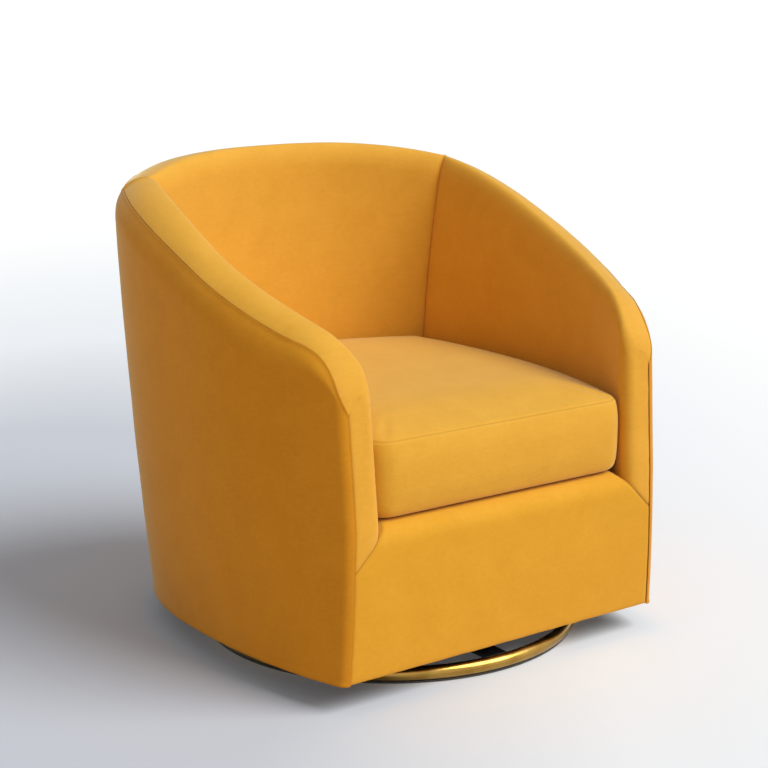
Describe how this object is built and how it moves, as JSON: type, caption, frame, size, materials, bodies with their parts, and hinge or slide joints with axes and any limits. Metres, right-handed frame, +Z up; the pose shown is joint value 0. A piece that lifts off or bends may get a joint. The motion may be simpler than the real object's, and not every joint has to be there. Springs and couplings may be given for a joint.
{
  "type": "swivel barrel chair",
  "caption": "Upholstered barrel chair with sweeping padded arms, a loose seat cushion and a round tube base ring it turns on.",
  "frame": {"origin": "centre of the object's bounding box on the floor; the swivel axis stands 49 mm in front of it", "axes": "+Z up, the chair faces -Y, +X is to the right of someone looking along +Y, which is the sitter's left"},
  "size_m": [0.7776, 0.7221, 0.7625],
  "materials": {
    "yellow_upholstery": "smooth brushed velvet-like upholstery cloth, mustard yellow",
    "yellow_cushion": "the same cloth on the loose cushion",
    "brass_plated_steel": "brushed brass plating on steel tube",
    "black_steel": "black powder-coated flat steel",
    "zinc_plated_steel": "zinc-plated pressed steel",
    "spring_steel": "oiled spring wire",
    "frame_timber": "planed softwood, unfinished",
    "bent_plywood": "moulded plywood, unfinished",
    "elastic_webbing": "black elastic webbing",
    "grey_felt": "grey needled felt",
    "black_dust_cloth": "black non-woven cloth",
    "clear_glide_plastic": "translucent soft plastic strip"
  },
  "bodies": {
    "base": {"base_ring": "brass_plated_steel", "base_glide": "clear_glide_plastic", "base_spider": "black_steel", "swivel_lower_plate": "zinc_plated_steel", "swivel_kingpin": "zinc_plated_steel"},
    "ball_ring": {"swivel_ball_ring": "zinc_plated_steel"},
    "seat": {"swivel_upper_plate": "zinc_plated_steel", "seat_bolt_1": "zinc_plated_steel", "seat_bolt_2": "zinc_plated_steel", "seat_bolt_3": "zinc_plated_steel", "seat_bolt_4": "zinc_plated_steel", "mount_board_front": "frame_timber", "mount_board_back": "frame_timber", "bottom_rail": "bent_plywood", "back_top_rail": "bent_plywood", "front_bottom_rail": "frame_timber", "front_seat_rail": "frame_timber", "back_slat": "frame_timber", "seat_rail_back": "bent_plywood", "arm_rail_right": "bent_plywood", "arm_rail_left": "bent_plywood", "front_post_right": "frame_timber", "front_post_left": "frame_timber", "back_post_right": "frame_timber", "back_post_left": "frame_timber", "seat_rail_right": "bent_plywood", "seat_rail_left": "bent_plywood", "corner_block_right": "frame_timber", "corner_block_left": "frame_timber", "arm_board_right": "bent_plywood", "arm_board_left": "bent_plywood", "back_web_low": "elastic_webbing", "back_web_middle": "elastic_webbing", "back_web_high": "elastic_webbing", "seat_spring_1": "spring_steel", "seat_spring_2": "spring_steel", "seat_spring_3": "spring_steel", "seat_spring_4": "spring_steel", "seat_spring_5": "spring_steel", "spring_clip_front_1": "zinc_plated_steel", "spring_clip_front_2": "zinc_plated_steel", "spring_clip_front_3": "zinc_plated_steel", "spring_clip_front_4": "zinc_plated_steel", "spring_clip_front_5": "zinc_plated_steel", "spring_clip_back_1": "zinc_plated_steel", "spring_clip_back_2": "zinc_plated_steel", "spring_clip_back_3": "zinc_plated_steel", "spring_clip_back_4": "zinc_plated_steel", "spring_clip_back_5": "zinc_plated_steel", "spring_tie_wire": "spring_steel", "outside_cover": "yellow_upholstery", "arm_cover_right": "yellow_upholstery", "arm_cover_left": "yellow_upholstery", "inside_back_cover": "yellow_upholstery", "front_border": "yellow_upholstery", "seat_deck": "grey_felt", "dust_cover": "black_dust_cloth"},
    "cushion": {"seat_cushion": "yellow_cushion"}
  },
  "joints": [
    {"name": "seat_swivel", "type": "hinge", "parent": "base", "child": "seat", "pos_m": [0, -0.049, 0], "axis": [0, 0, 1], "continuous": true},
    {"name": "ball_ring_spin", "type": "hinge", "parent": "base", "child": "ball_ring", "pos_m": [0, -0.049, 0], "axis": [0, 0, 1], "continuous": true},
    {"name": "cushion_lift", "type": "slide", "parent": "seat", "child": "cushion", "axis": [0, 0, 1], "range_m": [0, 0.5]}
  ],
  "couplings": [
    {"joint": "ball_ring_spin", "follows": "seat_swivel", "ratio": 0.5}
  ]
}
